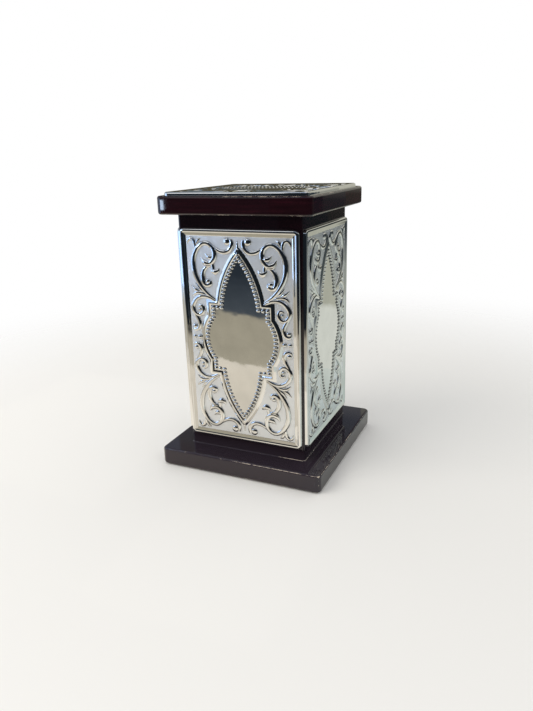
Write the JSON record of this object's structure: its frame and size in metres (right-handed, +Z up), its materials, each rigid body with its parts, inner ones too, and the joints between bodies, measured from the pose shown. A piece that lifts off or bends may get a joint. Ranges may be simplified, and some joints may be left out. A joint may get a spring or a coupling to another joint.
{
  "type": "tzedakah box",
  "caption": "Square lacquered wooden charity box on a wide base, with stamped metal plaques on its sides and a lift-off lid with a coin slot.",
  "frame": {"origin": "middle of the underside of the felt, on the surface that the box stands on", "axes": "+Z up, the front plaque faces -Y, +X to the right of someone who faces the front, and the coin slot runs along X"},
  "size_m": [0.092, 0.092, 0.146],
  "materials": {
    "lacquered_wood": "high-gloss dark mahogany lacquer",
    "stained_wood": "matte stain",
    "silver_plate": "stamped silver plate, polished relief on a satin ground",
    "foam_tape": "closed-cell foam",
    "zinc_screw": "zinc plated",
    "felt": "pressed felt"
  },
  "bodies": {
    "case": {"base_felt": "felt", "base_board": "lacquered_wood", "base_screws": "zinc_screw", "floor_board": "stained_wood", "front_wall": "lacquered_wood", "right_wall": "lacquered_wood", "back_wall": "lacquered_wood", "left_wall": "lacquered_wood", "front_plaque": "silver_plate", "right_plaque": "silver_plate", "back_plaque": "silver_plate", "left_plaque": "silver_plate", "front_tape": "foam_tape", "right_tape": "foam_tape", "back_tape": "foam_tape", "left_tape": "foam_tape"},
    "lid": {"lid_board": "lacquered_wood", "lid_locator": "stained_wood", "lid_screws": "zinc_screw", "lid_plaque": "silver_plate", "lid_tape": "foam_tape"}
  },
  "joints": [
    {"name": "lid_lift", "type": "slide", "parent": "case", "child": "lid", "axis": [0, 0, 1], "range_m": [0, 0.06]}
  ]
}
